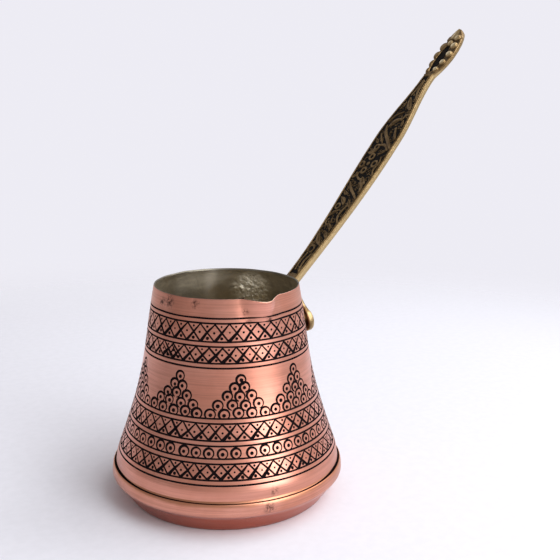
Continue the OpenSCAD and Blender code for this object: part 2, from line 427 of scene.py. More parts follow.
def make_bands():
    edges = [SEAM_Z] + RINGS + [EDGE_Z]
    bands = [Band(low, high) for low, high in zip(edges[:-1], edges[1:])]
    # The bands above the ring pairs, from the seam up
    low, eyelets, third, triangles, second, top = bands[2:13:2]
    lattice(low, 53, 0.0, "low lattice")
    eyelet_row(eyelets, 50, 4.9, 29.35, "eyelets")
    lattice(third, 46, 24.7, "third lattice")
    pyramids(triangles, 9, 6.0, "pyramids")
    lattice(second, 40, 1.5, "second lattice")
    add_strays(second, 5)
    lattice(top, 36, 6.5, "top lattice")
    return bands


def mesh_band(band, plain_step=1.35):
    """Triangles of one band: plane points, triangles."""
    xs = np.linspace(0, band.length, TURN_STEPS + 1)
    points = []
    edges = []

    def chain(rows, closed=False):
        start = len(points)
        points.extend(Vector((float(p[0]), float(p[1]))) for p in rows)
        last = len(points) - 1
        edges.extend((i, i + 1) for i in range(start, last))
        if closed:
            edges.append((last, start))

    rows_up = max(1, int(round((band.y1 - band.y0) / plain_step)))
    side_ys = [mix(band.y0, band.y1, k / rows_up) for k in range(rows_up + 1)]
    border = [(x, band.y0) for x in xs] + [(band.length, y) for y in side_ys[1:-1]]
    border += [(x, band.y1) for x in xs[::-1]] + [(0.0, y) for y in side_ys[-2:0:-1]]
    chain(border, closed=True)
    for edge, side, height in ((band.y0, 1, band.low), (band.y1, -1, band.high)):
        if height in RINGS:
            chain(np.stack([xs, edge + side * band.ring_half(band.angle(xs), height)], axis=1))
    for outline in band.outlines:
        chain(outline, closed=True)
    for ridge in band.ridges:
        chain(ridge)
    spots = []
    for row in range(1, rows_up):
        shift = 0.5 if row % 2 else 0.0
        count = int(band.length / plain_step)
        for k in range(count):
            spots.append(((k + shift + 0.25) * band.length / count, side_ys[row]))
    if spots:
        spots = np.array(spots)
        near = np.zeros(len(spots), bool)
        for dx, dy in ((0, 0), (0.25, 0), (-0.25, 0), (0, 0.25), (0, -0.25)):
            near |= band.depth(spots[:, 0] + dx, spots[:, 1] + dy) > 0
        points.extend(Vector((float(x), float(y))) for x, y in spots[~near])
    out_points, _, out_faces, *_ = delaunay_2d_cdt(points, edges, [], 0, 1e-4, True)
    flat = np.array([(p.x, p.y) for p in out_points])
    tris = np.array([f for f in out_faces if len(f) == 3])
    middle = flat[tris].mean(axis=1)
    inside = (middle[:, 0] > 0) & (middle[:, 0] < band.length)
    inside &= (middle[:, 1] > band.y0) & (middle[:, 1] < band.y1)
    tris = tris[inside]
    turn = np.cross(flat[tris[:, 1]] - flat[tris[:, 0]], flat[tris[:, 2]] - flat[tris[:, 0]])
    tris = np.where(turn[:, None] < 0, tris[:, ::-1], tris)
    return flat, tris[np.abs(turn) > 1e-9]


# ---------------------------------------------------------------- mesh building
def new_piece(name, points, faces, materials, face_slots=None):
    mesh = bpy.data.meshes.new(name)
    corners = (np.asarray(points, float) * MM).tolist()
    mesh.from_pydata(corners, [], [tuple(int(i) for i in f) for f in faces])
    for material in materials:
        mesh.materials.append(material)
    if face_slots is not None:
        mesh.polygons.foreach_set("material_index", np.asarray(face_slots, np.int32))
    mesh.polygons.foreach_set("use_smooth", np.ones(len(faces), bool))
    mesh.update()
    piece = bpy.data.objects.new(name, mesh)
    bpy.context.scene.collection.objects.link(piece)
    return piece


def stand_in(piece, node):
    """The piece takes the place of its CAD node and moves with the pot."""
    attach(piece, BODY)
    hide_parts(node)


def grid_faces(rows, columns, flip=False, start=0):
    """Quads between rows of points, each row a closed turn of the given number of points."""
    faces = []
    for i in range(rows - 1):
        for j in range(columns):
            a = start + i * columns + j
            b = start + i * columns + (j + 1) % columns
            quad = (a, b, b + columns, a + columns)
            faces.append(quad[::-1] if flip else quad)
    return faces


def capped_grid(rows, columns, flip=False):
    """The same with a flat face over the first row and over the last."""
    caps = [tuple(range(columns))[::-1], tuple(range((rows - 1) * columns, rows * columns))]
    return grid_faces(rows, columns, flip) + [cap[::-1] if flip else cap for cap in caps]


def fan(start, tip, flip=False):
    """Triangles from one turn round the pot to a single point."""
    faces = [(start + j, start + (j + 1) % TURN_STEPS, tip) for j in range(TURN_STEPS)]
    return [face[::-1] for face in faces] if flip else faces


def build_upper_body(materials):
    """The engraved outside, the rounded rim, the inside and the lower edge, as one closed skin."""
    keys = {}
    points = []
    tris = []
    slots = []
    normals = []
    for band in make_bands():
        flat, faces = mesh_band(band)
        depth = band.depth(flat[:, 0], flat[:, 1])
        angle = band.angle(flat[:, 0])
        height = wall_height(flat[:, 1])
        normal = wall_normal(angle, height)
        place = wall_point(angle, height) - normal * depth[:, None]
        index = []
        for k in range(len(flat)):
            key = (round(float(angle[k]) % 360 % 359.99999, 3), round(float(height[k]), 3))
            if key not in keys:
                keys[key] = len(points)
                points.append(place[k])
                normals.append(normal[k])
            index.append(keys[key])
        index = np.array(index)
        middle = flat[faces].mean(axis=1)
        cut = band.depth(middle[:, 0], middle[:, 1]) > 0.04 * CUT_DEPTH
        tris.extend(index[faces].tolist())
        slots.extend(cut.astype(int).tolist())
    ends = [round(float(wall_height(up_wall(z))), 3) for z in (EDGE_Z, SEAM_Z)]
    top, low = ([keys[(round(float(a), 3), end)] for a in ANGLES] for end in ends)
    rows = [top]
    ring_rows = [rim_row(math.pi * k / 6) for k in range(1, 6)]
    heights = np.concatenate([np.linspace(EDGE_Z, 60, 30), np.linspace(58, SEAM_Z, 18)])
    ring_rows += [wall_point(ANGLES, z, sheet_at(z)) for z in heights]
    for row in ring_rows:
        rows.append(list(range(len(points), len(points) + TURN_STEPS)))
        points.extend(row)
        normals.extend([None] * TURN_STEPS)
    rows.append(low)
    quads = []
    for a, b in zip(rows[:-1], rows[1:]):
        for j in range(TURN_STEPS):
            n = (j + 1) % TURN_STEPS
            quads.append((a[j], a[n], b[n], b[j]))
    faces = [tuple(t) for t in tris] + quads
    slots += [0] * (len(quads) - TURN_STEPS) + [1] * TURN_STEPS
    piece = new_piece("upper_body_engraved", points, faces, materials, slots)
    set_plain_normals(piece.data, len(tris), slots, normals)
    return piece


def set_plain_normals(mesh, outer_count, slots, normals):
    """Lights plain faces of the outside as the smooth wall. Cut faces and the rest keep their normals."""
    own = [tuple(vertex.normal) for vertex in mesh.vertices]
    result = []
    for k, polygon in enumerate(mesh.polygons):
        if k >= outer_count:
            result += [own[vertex] for vertex in polygon.vertices]
        elif slots[k]:
            result += [tuple(polygon.normal)] * len(polygon.vertices)
        else:
            result += [tuple(normals[vertex]) for vertex in polygon.vertices]
    mesh.normals_split_custom_set(result)


# ---------------------------------------------------------------- base pan and tin
GROOVE_Z = SEAM_Z - 1.12
LIP_EDGE = (SEAM_R + 0.05, SEAM_Z - 0.72)
BELLY_Z = 9.4
BELLY_TURN = math.radians(45)
CREASE = (43.6, 7.2)
FOOT_R = 38.9
KICK = 0.35
KICK_R = 34


def pan_outline(off):
    """Face of the pan that far inside its outer face, from the lap down to the axis."""
    lap_in = SHEET + SOLDER + off
    edge_r, edge_z = LIP_EDGE
    line = [(float(wall_r(z)) - lap_in, z) for z in (LAP_Z, LAP_Z - 1, LAP_Z - 2, LAP_Z - 3, SEAM_Z)]
    if off == 0:
        line += [(SEAM_R - lap_in, GROOVE_Z), (SEAM_R - 0.62, GROOVE_Z), (edge_r - 0.12, edge_z - 0.12)]
        line += [(edge_r - 0.02, edge_z)]
    else:
        line += [(SEAM_R - lap_in, GROOVE_Z - off)]
    for k in range(1, 9):
        a = math.pi / 2 * (1 - k / 8)
        height = BELLY_Z + (edge_z - BELLY_Z - off) * math.sin(a)
        line.append((mix(edge_r, PAN_R, math.cos(a)) - off, height))
    for k in range(1, 8):
        a = BELLY_TURN * k / 7
        inward = (1 - math.cos(a)) / (1 - math.cos(BELLY_TURN))
        down = math.sin(a) / math.sin(BELLY_TURN)
        line.append((mix(PAN_R, CREASE[0], inward) - off, mix(BELLY_Z, CREASE[1], down)))
    crease_r, crease_z = line[-1]
    foot_r = FOOT_R - off * 0.6
    line += [(mix(crease_r, foot_r, k / 7), mix(crease_z, off + 0.7, k / 7)) for k in range(1, 7)]
    line += [(foot_r - 0.1, off + 0.45), (foot_r - 0.5, off + 0.14), (foot_r - 1.3, off)]
    for k in range(1, 15):
        radius = mix(foot_r - 1.3, 0, k / 14)
        line.append((radius, off + KICK * float(smooth((KICK_R - radius) / 6))))
    return line


def turned(line, wobble=0.0, seed=1):
    """Points of an outline turned round the axis, a little uneven as hand-spun metal is."""
    rows = []
    turn = np.radians(ANGLES)
    for radius, height in line:
        reach = radius + wobble * ripple(ANGLES + height * 9, seed) * min(1, radius / 20)
        level = np.full(TURN_STEPS, height)
        rows.append(np.stack([reach * np.cos(turn), reach * np.sin(turn), level], axis=1))
    return rows


def build_base_pan(materials):
    """Inside and outside of the pan as one skin, with its groove under the seam left dark."""
    line = pan_outline(SHEET)[::-1] + pan_outline(0.0)
    rows = turned(line[1:-1], wobble=0.07)
    tips = len(rows) * TURN_STEPS
    points = np.vstack(rows + [[[0, 0, line[0][1]], [0, 0, line[-1][1]]]])
    faces = grid_faces(len(rows), TURN_STEPS, flip=True)
    faces += fan(0, tips, flip=True) + fan(tips - TURN_STEPS, tips + 1)
    pan = new_piece("base_pan_spun", points, faces, materials)
    for face in pan.data.polygons:
        reach = face.center.xy.length / MM
        in_groove = face.center.z / MM > GROOVE_Z - 0.1 and SEAM_R - SHEET < reach < LIP_EDGE[0] - 0.04
        face.material_index = 1 if in_groove else 0
    return pan


def build_tin(materials):
    """A thin skin over the whole inside, wrapped over the rim, with lumps on its seen side."""
    heights = np.concatenate([np.linspace(EDGE_Z, 68, 34), np.linspace(67, LAP_Z + 0.3, 36)])

    def skin(depth, seen_side):
        coat = (depth - SHEET) * (0.3 if seen_side else 0.6)
        rows = [rim_row(math.pi * k / 6, coat) for k in range(2, 6)]
        for z in heights:
            row = wall_point(ANGLES, z, depth - SHEET + sheet_at(z))
            if seen_side:
                row[:, :2] *= (1 - crumple(ANGLES, z) / np.hypot(row[:, 0], row[:, 1]))[:, None]
            rows.append(row)
        floor = pan_outline(depth)
        floor[0] = (floor[0][0], LAP_Z + depth - SHEET)
        return rows + turned(floor[:-1]), [0, 0, floor[-1][1]]

    seen, seen_tip = skin(SHEET + TIN, True)
    back, back_tip = skin(SHEET + 0.03, False)
    points = np.vstack(seen + back + [[seen_tip, back_tip]])
    start = len(seen) * TURN_STEPS
    tips = len(points) - 2
    faces = grid_faces(len(seen), TURN_STEPS) + grid_faces(len(back), TURN_STEPS, flip=True, start=start)
    faces += fan(start - TURN_STEPS, tips) + fan(tips - TURN_STEPS, tips + 1, flip=True)
    for j in range(TURN_STEPS):
        n = (j + 1) % TURN_STEPS
        faces.append((n, j, start + j, start + n))
    return new_piece("tin_lining_wiped", points, faces, materials)


PATCH_TURN = 41.0
PATCH_Z = 72.0


def crumple(angles, z):
    """Height of the lumps in the tin: strong in one patch of the wall, and weaker below the lip."""
    near = bell(wrapped(angles - LIP_ANGLE + 4), 15) * bell(z - 77, 6.5)
    near = near + 2.6 * bell(wrapped(angles - PATCH_TURN), 15) * bell(z - PATCH_Z, 5)
    near = near * float(smooth((RIM_Z - 0.8 - z) / 3))
    spots = [(a * 0.48, z, 0.0) for a in angles]
    fine = np.abs(cloud(spots, 1.6, 4)) * 0.34
    broad = cloud(spots, 7.0, 9) * 0.06
    return fine * near + broad


# ---------------------------------------------------------------- handle
BAR_W = 15.0
FOOT_W = 6.4
NECK_W = 5.0
BAR_T = 3.4
BAR_SAG = 1.35
BORDER = 0.45
FINIAL_L = 24.6
SCALLOPS = ((2.6, 1.7, 1.9), (6.4, 2.6, 2.2), (10.8, 3.1, 2.4), (15.4, 2.6, 2.5), (19.8, 1.5, 2.4))
# Half widths of the finial's leaf, and of its whole near side, by the distance from the neck
LEAF = ((0, 0), (18.6, 3.4), (21.2, 3.0), (23.4, 1.7), (FINIAL_L, 0.3))
NEAR_SIDE = ((0, 2.5), (3, 3.9), (6.5, 5.0), (10.5, 5.6), (14.5, 5.5), (18, 4.9), (21, 3.8), (23, 2.6),
             (24.2, 1.5), (FINIAL_L, 0.3))
ENAMEL_LEVEL = -0.36
POCKET_DEPTH = 0.7
POCKET_START = 1.2
POCKET_END = 104.1


def bar_share(s):
    """Distance from the foot as a share of the bar's length, up to one."""
    return np.clip(np.asarray(s, float) / BAR_LENGTH, 0, 1)


def bar_half(s):
    """Half width of the bar and its finial at a distance from the foot."""
    t = bar_share(s)
    full = mix(FOOT_W + 0.4, BAR_W, smooth(t / 0.62))
    half = (full - (BAR_W - NECK_W) * smooth((t - 0.68) / 0.32)) / 2
    along = np.asarray(s, float) - BAR_LENGTH
    places, sides, _ = zip(*SCALLOPS)
    core = np.interp(along, (0, *places, FINIAL_L), (NECK_W / 2, *sides, 0))
    for place, side, radius in SCALLOPS:
        core = np.maximum(core, side + radius * dome((along - place) / radius))
    leaf = np.interp(along, *zip(*LEAF))
    return np.where(along > 0, np.maximum(core * (along < 20.6), leaf * (along > 18)), half)


def near_half(s):
    """Half width on the near side, where the finial's edge is one smooth curve."""
    along = np.asarray(s, float) - BAR_LENGTH
    return np.where(along > 0, np.interp(along, *zip(*NEAR_SIDE)), bar_half(s))


def edge_gap(s, y):
    """Distance in from the outline of the handle's face."""
    return np.where(y < 0, near_half(s), bar_half(s)) - np.abs(y)


def bar_middle(s):
    t = bar_share(s)
    return -BAR_SAG * 6.75 * t * (1 - t) ** 2


def bar_thick(s):
    return mix(BAR_T, BAR_T - 0.4, bar_share(s))


class Relief:
    """Raised strokes on the handle's face: x along the bar from its foot, y across."""

    def __init__(self):
        self.raised = []
        self.veins = []

    def stroke(self, line, halves, height=0.62):
        """A rounded ridge through points, eased into a smooth curve."""
        line = eased(line)
        halves = 1.45 * np.array(halves)
        halves = np.interp(np.linspace(0, 1, len(line)), np.linspace(0, 1, len(halves)), halves)
        self.raised += stroke_rows(line, halves, height)

    def leaf(self, start, end, width, bow=0.0, height=0.62):
        """A leaf between two points, with a fine vein cut along it."""
        a = np.array(start, float)
        b = np.array(end, float)
        middle = (a + b) / 2 + np.array([-(b - a)[1], (b - a)[0]]) * bow
        self.stroke([a, middle, b], [0.2, width * 0.8, width, width * 0.75, 0.15], height)
        self.veins.append((*mix(a, middle, 0.6), *mix(middle, b, 0.7), 0.22, 0.12, 0.3))

    def bead(self, place, radius, height=0.62):
        self.raised.append((*place, *place, radius, radius, height))

    def ring(self, centre, radius, half, start=0, end=360):
        line = [polar(radius, turn, centre) for turn in np.radians(np.linspace(start, end, 13))]
        self.raised += stroke_rows(line, [1.3 * half] * len(line), 0.6)

    def height(self, x, y):
        """Height above the pocket's floor at points of the face: every stroke is rounded."""
        up, down = (under_strokes(x, y, rows, lambda gap: np.clip(1 - gap ** 2, 0, None) ** 0.45)
                    for rows in (self.raised, self.veins))
        return np.clip(up - down, 0, None)


def eased(line, steps=5):
    """Points of a smooth curve through the given ones (Catmull-Rom)."""
    p = [np.array(q, float) for q in line]
    p = [2 * p[0] - p[1]] + p + [2 * p[-1] - p[-2]]
    out = []
    for i in range(1, len(p) - 2):
        for k in range(steps):
            t = k / steps
            a = 2 * p[i]
            b = (p[i + 1] - p[i - 1]) * t
            c = (2 * p[i - 1] - 5 * p[i] + 4 * p[i + 1] - p[i + 2]) * t * t
            d = (3 * p[i] - p[i - 1] - 3 * p[i + 1] + p[i + 2]) * t ** 3
            out.append((a + b + c + d) / 2)
    out.append(p[-2])
    return np.array(out)


def scroll_relief():
    """Leaves, stems and the flower of the cast pattern, from the foot to the neck."""
    r = Relief()
    r.stroke([(3.5, -1.6), (8, -0.4), (12, -1.4)], [0.3, 0.5, 0.35])
    r.stroke([(4, 1.2), (8, 2.0), (12.5, 1.2)], [0.3, 0.45, 0.3])
    r.ring((14.6, 1.0), 1.75, 0.5, start=-140, end=140)
    r.leaf((16.4, 3.4), (18.6, 1.2), 0.7)
    r.leaf((17.0, -2.6), (23.6, 3.6), 1.0, bow=0.1)
    r.leaf((20.8, -3.4), (24.0, 0.4), 0.8)
    r.leaf((24.4, -2.2), (27.6, 1.6), 0.75, bow=-0.1)
    r.bead((25.6, 3.6), 0.65)
    r.ring((28.4, 2.0), 1.6, 0.4, start=40, end=330)
    r.bead((28.4, 2.0), 0.6)
    r.stroke([(28.6, -3.4), (31.5, -1.4), (35, -1.8), (38.5, -3.4)], [0.3, 0.55, 0.5, 0.3])
    r.leaf((31.0, 4.2), (34.4, 0.6), 0.8, bow=0.12)
    r.ring((36.2, 3.0), 1.3, 0.4)
    r.leaf((37.0, 0.0), (40.6, 4.4), 1.0, bow=-0.12)
    r.leaf((36.4, -4.6), (40.0, -1.2), 0.8)
    r.stroke([(40.6, -5.2), (42.6, -2.2), (45.0, 1.6), (48.2, 5.2)], [0.35, 0.55, 0.6, 0.35])
    r.leaf((42.4, 1.6), (44.0, 5.4), 0.75, bow=0.1)
    r.leaf((44.2, -4.6), (48.4, -0.4), 0.9, bow=-0.15)
    r.leaf((48.2, -4.4), (51.4, -0.6), 1.15, bow=0.15)
    r.stroke([(50.0, -0.8), (50.6, 2.0), (53.2, 4.8)], [0.5, 0.45, 0.35])
    r.leaf((50.4, 6.0), (53.6, 3.0), 0.8)
    petals = (((54.6, 1.5), 1.35), ((57.4, 5.1), 1.35), ((61.5, 1.7), 1.35), ((58.2, -2.5), 1.45))
    for petal, radius in petals:
        r.ring(petal, radius, 0.5)
    r.bead((58.0, 1.4), 1.15)
    r.stroke([(53.0, -5.4), (55.4, -4.2), (58.4, -5.2), (61.6, -4.2)], [0.3, 0.45, 0.45, 0.3])
    r.leaf((63.2, 5.8), (66.0, 1.0), 1.1, bow=-0.1)
    r.ring((66.4, 2.5), 1.2, 0.42)
    r.stroke([(67.4, 1.6), (67.6, -1.6), (65.2, -5.0)], [0.5, 0.55, 0.35])
    r.leaf((63.0, -1.2), (65.4, -4.4), 0.8)
    r.stroke([(66.2, -5.8), (70.0, -1.5), (73.5, 2.5), (77.4, 4.9)], [0.5, 0.75, 0.7, 0.4], height=0.66)
    r.stroke([(68.6, 0.8), (70.6, 3.0), (73.2, 5.2)], [0.3, 0.45, 0.3])
    r.leaf((68.4, 3.6), (70.6, 6.2), 0.7)
    r.stroke([(70.8, -5.6), (73.0, -3.6), (76.4, -1.8)], [0.35, 0.6, 0.4])
    r.leaf((76.6, 3.4), (81.2, -1.9), 1.15, bow=0.14)
    r.stroke([(80.4, -2.0), (82.6, -3.0), (83.4, -5.0)], [0.4, 0.5, 0.3])
    r.leaf((77.2, -4.4), (80.4, -3.2), 0.7)
    r.stroke([(79.6, 5.2), (82.8, 3.2), (84.6, -0.4)], [0.35, 0.5, 0.35])
    r.leaf((85.4, -3.6), (92.4, 1.4), 1.1, bow=0.08)
    r.leaf((86.0, 3.4), (89.6, 1.4), 0.6)
    r.stroke([(91.0, -2.4), (95.5, -0.6), (101.0, 0.0)], [0.4, 0.5, 0.4])
    r.stroke([(93.4, 1.9), (97.5, 0.9), (101.5, 0.6)], [0.3, 0.35, 0.3])
    fill_gaps(r)
    return r


def fill_gaps(r):
    """Small curled leaves and beads wherever the pattern leaves room for them."""
    draw = random.Random(12)
    for _ in range(900):
        s = draw.uniform(4, 100)
        y = draw.uniform(-0.9, 0.9) * (float(bar_half(s)) - 1.3)
        lean = draw.choice((-1, 1)) * draw.uniform(0.5, 1.1)
        size = draw.uniform(0.8, 1.3)
        end = np.array([math.cos(lean), math.sin(lean)]) * size
        room = np.array([[s, y], [s + end[0], y + end[1]], [s - end[0], y - end[1]]])
        if r.height(room[:, 0], room[:, 1]).max() > 0.02:
            continue
        if draw.random() < 0.25:
            r.bead((s, y), draw.uniform(0.45, 0.6), height=0.55)
        else:
            r.leaf(room[2], room[1], 0.42, bow=draw.uniform(-0.3, 0.3), height=0.56)


def face_height(s, y, relief):
    """Height of the handle's face above its plain level, for points along s and across y."""
    inside = edge_gap(s, y)
    pocket = smooth((inside - BORDER) / 0.25)
    pocket = pocket * smooth((s - POCKET_START) / 1.2) * smooth((POCKET_END - s) / 1.2)
    line = 0.62 * np.clip(1 - ((inside - 1.12) / 0.24) ** 2, 0, 1) ** 0.5 * (y < 0)
    pattern = np.maximum(relief.height(s, y) * smooth((inside - 0.7) / 0.3), line)
    bar = pocket * np.minimum(pattern, 0.66) - POCKET_DEPTH * pocket
    bar = bar - 0.45 * (1 - dome(np.clip(1 - inside / 0.45, 0, 1)))
    along = s - BAR_LENGTH
    return np.where(along > 0.3, finial_height(along, y, inside), bar)


def almond(along, y):
    """Below one inside the finial's almond-shaped hollow."""
    return ((along - 8.8) / 7.0) ** 2 + ((y - 0.4) / 2.3) ** 2


FINIAL_LEVEL = -0.32


def finial_height(along, y, inside):
    """Beads along both edges, an almond hollow between them and a ridged leaf at the tip."""
    near = y < 0
    height = np.full(np.shape(along), FINIAL_LEVEL)
    for place, side, radius in SCALLOPS:
        gap = np.hypot(along - place, np.abs(y) - side - 0.6) / (radius * np.where(near, 0.68, 0.86))
        height = np.maximum(height, FINIAL_LEVEL + np.where(near, 1.25, 0.6) * dome(gap))
    hollow = almond(along, y)
    sunk = np.minimum(height, mix(-0.8, 0.1, smooth((hollow - 0.8) / 0.5)))
    height = np.where(hollow < 1.5, sunk + 0.15 * bell(hollow - 1.25, 0.25), height)
    bead = np.hypot((along - 16.9) / 1.5, y / 1.3)
    height = np.where(bead < 1, np.maximum(height, 0.8 * dome(bead) - 0.1), height)
    ridge = 0.75 - 0.3 * np.abs(y) - 0.03 * (along - 21) ** 2
    height = np.where(along > 19.2, np.maximum(height - 0.2, ridge), height)
    return height - (0.6 + 0.3 * height) * (1 - dome(np.clip(1 - inside / 0.7, 0, 1)))


BAR_TURN = math.radians(BAR_ANGLE)
BAR_COLUMNS = 60
FACE_TURN = math.pi / 2 * 0.92


def on_bar(s, y, z):
    """Points along, across and out of the handle's face, with the finial sitting a little askew."""
    y = y - 1.0 * smooth((s - BAR_LENGTH + 4) / 14)
    x = BAR_FOOT[0] + s * math.cos(BAR_TURN) - z * math.sin(BAR_TURN)
    up = BAR_FOOT[1] + s * math.sin(BAR_TURN) + z * math.cos(BAR_TURN)
    return np.stack([x, y, up], axis=-1)


def face_grid(relief, step=0.26):
    """The handle's face as a grid: distances, places along and across, plain level and pattern's height."""
    total = BAR_LENGTH + FINIAL_L - 0.1
    s = np.linspace(0.0, total, int(total / step))
    share = np.sin(np.linspace(-1, 1, BAR_COLUMNS) * FACE_TURN) / math.sin(FACE_TURN)
    yy = np.where(share < 0, near_half(s)[:, None], bar_half(s)[:, None]) * share
    ss = np.repeat(s[:, None], BAR_COLUMNS, 1)
    height = face_height(ss.ravel(), yy.ravel(), relief).reshape(ss.shape)
    return s, ss, yy, bar_middle(ss) + bar_thick(ss) / 2, height


def face_cloud(ss, yy, stretch, scale, seed):
    spots = np.stack([ss.ravel() * stretch, yy.ravel(), np.zeros(ss.size)], axis=1)
    return cloud(spots, scale, seed).reshape(ss.shape)


def build_bar(face):
    """Points, faces and patina of the bar with its finial, as one closed skin."""
    s, ss, yy, level, height = face
    top = on_bar(ss, yy, level + height + 0.04 * face_cloud(ss, yy, 0.7, 1.3, 2))
    thick = bar_thick(s)
    turns = np.linspace(0, math.pi, 22)[1:-1]
    under = []
    for turn in turns:
        half = bar_half(s) if math.cos(turn) > 0 else near_half(s)
        y = half * signed_power(math.cos(turn), 0.35) * (1 + 0.012 * math.sin(turn * 2))
        z = bar_middle(s) + thick / 2 - 0.5 - (thick - 0.5) * math.sin(turn) ** 0.5
        y = y + 0.05 * ripple(s * 40 + turn * 50, 5, 12)
        z = z + 0.04 * ripple(s * 33 + turn * 90, 6, 12)
        under.append(on_bar(s, y, z))
    skin = np.concatenate([top, np.stack(under, axis=1)], axis=1)
    faces = capped_grid(len(s), skin.shape[1], flip=True)
    plain_side = 0.03 + 0.27 * np.abs(np.cos(turns)) ** 0.4 - 0.15 * smooth((s - BAR_LENGTH) / 6)[:, None]
    gap = edge_gap(ss, yy)
    on_finial = ss > BAR_LENGTH
    tone = np.where((gap < 0.7) & on_finial, np.maximum(height, -0.12), height + 0.02)
    worn_edge = (gap < 0.4) & ~on_finial & (yy < 0)
    tone = np.where(worn_edge, np.maximum(tone, 0.08), tone)
    tone = np.where(on_finial & (tone > 0), 1.15 * np.maximum(tone, 0) ** 1.7, tone)
    return skin.reshape(-1, 3), faces, np.concatenate([tone, plain_side], axis=1).ravel()


def build_enamel(face, materials):
    """Black enamel lying in the pocket round the raised pattern, and in the finial's almond."""
    _, ss, yy, level, height = face
    top = ENAMEL_LEVEL + 0.035 * face_cloud(ss, yy, 0.8, 2.2, 7)
    low = np.minimum(height, top - 0.02) - 0.03
    cells = np.minimum.reduce([height[:-1, :-1], height[1:, :-1], height[:-1, 1:], height[1:, 1:]])
    pool = (edge_gap(ss, yy) > BORDER) & (ss < BAR_LENGTH)
    pool |= (ss > BAR_LENGTH) & (almond(ss - BAR_LENGTH, yy) < 1.1)
    kept = (cells < ENAMEL_LEVEL - 0.02) & pool[:-1, :-1] & pool[1:, 1:]
    framed = np.pad(kept, 1)
    points = np.vstack([on_bar(ss, yy, level + z).reshape(-1, 3) for z in (top, low)])
    offset = ss.size
    faces = []
    for i, j in zip(*np.nonzero(kept)):
        a = i * BAR_COLUMNS + j
        corners = (a, a + BAR_COLUMNS, a + BAR_COLUMNS + 1, a + 1)
        faces += [corners, tuple(k + offset for k in corners[::-1])]
        neighbours = ((i, j - 1), (i + 1, j), (i, j + 1), (i - 1, j))
        for (m, n), p, q in zip(neighbours, corners, corners[1:] + corners[:1]):
            if not framed[m + 1, n + 1]:
                faces.append((p, p + offset, q + offset, q))
    used, faces = np.unique(faces, return_inverse=True)
    return new_piece("enamel_black", points[used], faces.reshape(-1, 4), materials)


def plate_frame():
    """Place and lean of the riveting plate: its back lies just off the neck."""
    low, high = 59.0, 79.0
    lean = math.atan((float(wall_r(low)) - float(wall_r(high))) / (high - low))
    return float(wall_r(LOBE_Z)) + 0.12, lean


def on_plate(out, across, up):
    """Points out of the pot, across, and up the plate's slope from the height of its lobes."""
    foot, lean = plate_frame()
    x = foot + out * math.cos(lean) - up * math.sin(lean)
    z = LOBE_Z + out * math.sin(lean) + up * math.cos(lean)
    return np.stack([x, across + 0 * x, z], axis=-1)


LOBE_R = 4.9
LOBE_Y = 6.4
CROWN_R = 2.8
PLATE_T = 2.7
CAD_PLATE_T = 3.0


def plate_thick(up):
    """Thickness of the riveting plate: it thins towards the crown."""
    return mix(PLATE_T, 1.55, smooth((np.asarray(up, float) - 1.5) / 5.5))


def plate_distance(y, up):
    """Distance inside the plate's outline: two lobes, a crown and the web between them."""
    lean = plate_frame()[1]
    crown_up = (CROWN_Z - LOBE_Z) / math.cos(lean)
    y = np.abs(y)
    lobe = LOBE_R - np.hypot(y - LOBE_Y, up)
    dx, dy = -LOBE_Y, crown_up
    t = np.clip(((y - LOBE_Y) * dx + up * dy) / (dx * dx + dy * dy), 0, 1)
    web = mix(LOBE_R, CROWN_R, t) - np.hypot(y - LOBE_Y - t * dx, up - t * dy)
    floor = up + 5.9 - 0.55 * y
    core = np.minimum(floor, LOBE_Y * (1 - up / crown_up) - y)
    return np.maximum(np.maximum(lobe, web), core)


def build_plate():
    """Points and faces of the riveting plate: a grid of rays from its middle out to its outline."""
    rays = 160
    rings = 22
    middle = (0.0, 4.0)
    turns = np.linspace(0, TAU, rays, endpoint=False)
    reach = np.zeros(rays)
    for k, turn in enumerate(turns):
        steps = np.linspace(0, 18, 900)
        y = middle[0] + steps * math.cos(turn)
        up = middle[1] + steps * math.sin(turn)
        outside = np.nonzero(plate_distance(y, up) < 0)[0]
        reach[k] = steps[outside[0]]
    points = []
    shares = np.sin(np.linspace(0.02, 1, rings) * math.pi / 2)
    for share, front in [(k, True) for k in shares] + [(k, False) for k in shares[::-1]]:
        y = middle[0] + reach * share * np.cos(turns)
        up = middle[1] + reach * share * np.sin(turns)
        inside = np.clip(plate_distance(y, up), 0, None)
        fall = 1 - dome(np.clip(1 - inside / (1.1 if front else 0.8), 0, 1))
        out = 0.5 * fall
        if front:
            out = plate_thick(up) - 0.8 * fall + 0.2 * smooth(inside / 4)
            out = out + 0.05 * ripple(np.degrees(turns) * 2 + 100 * share, 17, 8)
        points.append(on_plate(out, y, up))
    return np.vstack(points), capped_grid(len(points), rays)


